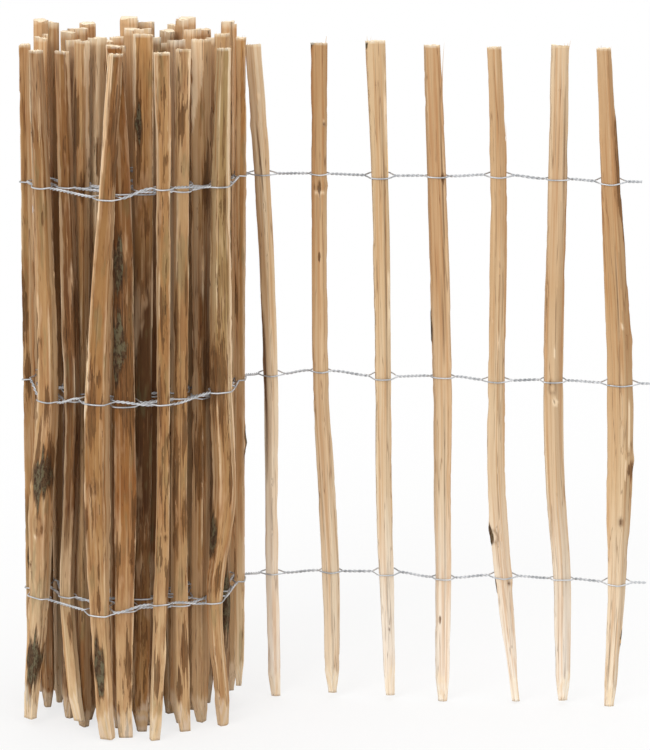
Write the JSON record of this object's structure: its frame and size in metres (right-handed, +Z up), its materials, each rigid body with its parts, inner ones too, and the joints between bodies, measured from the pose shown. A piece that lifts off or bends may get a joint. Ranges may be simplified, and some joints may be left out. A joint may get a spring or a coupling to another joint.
{
  "type": "paling fence roll",
  "caption": "Roll of cleft wooden palings held apart by rows of twisted galvanised wire, stood on end with its outer end run out loose as a short stretch of fence.",
  "frame": {"origin": "centre of the foot of the first paling wound into the roll, on the floor", "axes": "+Z up along the palings, +X the way the loose end runs out, +Y away from the loose end's outer face"},
  "size_m": [0.9255, 0.3401, 1.0251],
  "materials": {
    "rolled_wood": "cleft and debarked, weathered brown, matte",
    "loose_wood": "freshly cleft, pale tan, matte",
    "galvanised_wire": "galvanised, dull grey"
  },
  "bodies": {
    "root": {"pale_01": "rolled_wood", "pale_02": "rolled_wood", "pale_03": "rolled_wood", "pale_04": "rolled_wood", "pale_05": "rolled_wood", "pale_06": "rolled_wood", "pale_07": "rolled_wood", "pale_08": "rolled_wood", "pale_09": "rolled_wood", "pale_10": "rolled_wood", "pale_11": "rolled_wood", "pale_12": "rolled_wood", "pale_13": "rolled_wood", "pale_14": "rolled_wood", "pale_15": "rolled_wood", "pale_16": "rolled_wood", "pale_17": "rolled_wood", "pale_18": "rolled_wood", "pale_19": "rolled_wood", "pale_20": "rolled_wood", "pale_21": "rolled_wood", "pale_22": "rolled_wood", "pale_23": "rolled_wood", "pale_24": "rolled_wood", "pale_25": "rolled_wood", "pale_26": "rolled_wood", "pale_27": "rolled_wood", "pale_28": "rolled_wood", "pale_29": "rolled_wood", "pale_30": "rolled_wood", "pale_31": "rolled_wood", "pale_32": "rolled_wood", "pale_33": "rolled_wood", "pale_34": "rolled_wood", "pale_35": "rolled_wood", "pale_36": "rolled_wood", "pale_37": "rolled_wood", "pale_38": "rolled_wood", "pale_39": "rolled_wood", "pale_40": "rolled_wood", "pale_41": "rolled_wood", "pale_42": "rolled_wood", "pale_43": "rolled_wood", "pale_44": "rolled_wood", "pale_45": "rolled_wood", "pale_46": "rolled_wood", "pale_47": "rolled_wood", "pale_48": "loose_wood", "pale_49": "loose_wood", "pale_50": "loose_wood", "pale_51": "loose_wood", "pale_52": "loose_wood", "pale_53": "loose_wood", "pale_54": "loose_wood", "wire_bottom_a": "galvanised_wire", "wire_bottom_b": "galvanised_wire", "wire_middle_a": "galvanised_wire", "wire_middle_b": "galvanised_wire", "wire_top_a": "galvanised_wire", "wire_top_b": "galvanised_wire"}
  },
  "joints": []
}
